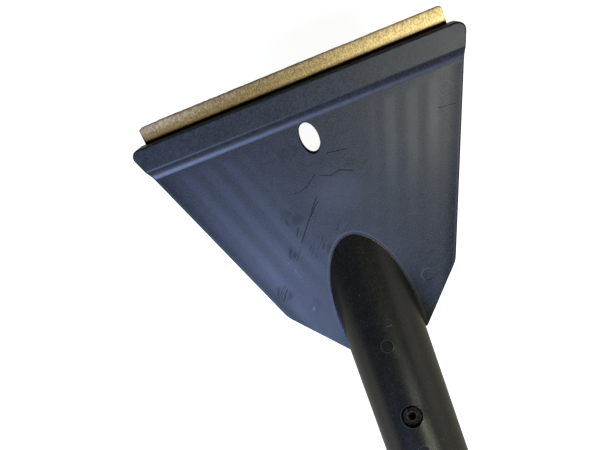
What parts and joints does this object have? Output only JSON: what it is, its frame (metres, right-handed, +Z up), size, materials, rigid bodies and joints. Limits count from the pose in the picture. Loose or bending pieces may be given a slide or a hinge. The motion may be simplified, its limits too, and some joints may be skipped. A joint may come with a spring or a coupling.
{
  "type": "windshield ice scraper",
  "caption": "Hand ice scraper with a brass edge in a fan-shaped moulded plastic head, riveted to a metal tube handle with a foam grip and an end cap.",
  "frame": {"origin": "centre of the part's outline seen from above, on the surface that the grip lies on", "axes": "+X across the blade, +Y along the tube from the grip to the head, +Z up, out of the head's concave face side; the tube is level"},
  "size_m": [0.108, 0.33, 0.0524],
  "materials": {
    "head_plastic": "satin moulded black with fine grain",
    "blade_brass": "worn, lightly tarnished",
    "tube_aluminium": "drawn, satin",
    "rivet_steel": "dulled, spots of rust",
    "mandrel_steel": "dulled, snapped end",
    "grip_foam": "closed-cell foam, matt",
    "cap_plastic": "satin moulded black"
  },
  "bodies": {
    "root": {"head_moulding": "head_plastic", "brass_blade": "blade_brass", "handle_tube": "tube_aluminium", "rivet_body": "rivet_steel", "rivet_mandrel": "mandrel_steel", "grip_sleeve": "grip_foam", "end_cap": "cap_plastic"}
  },
  "joints": []
}
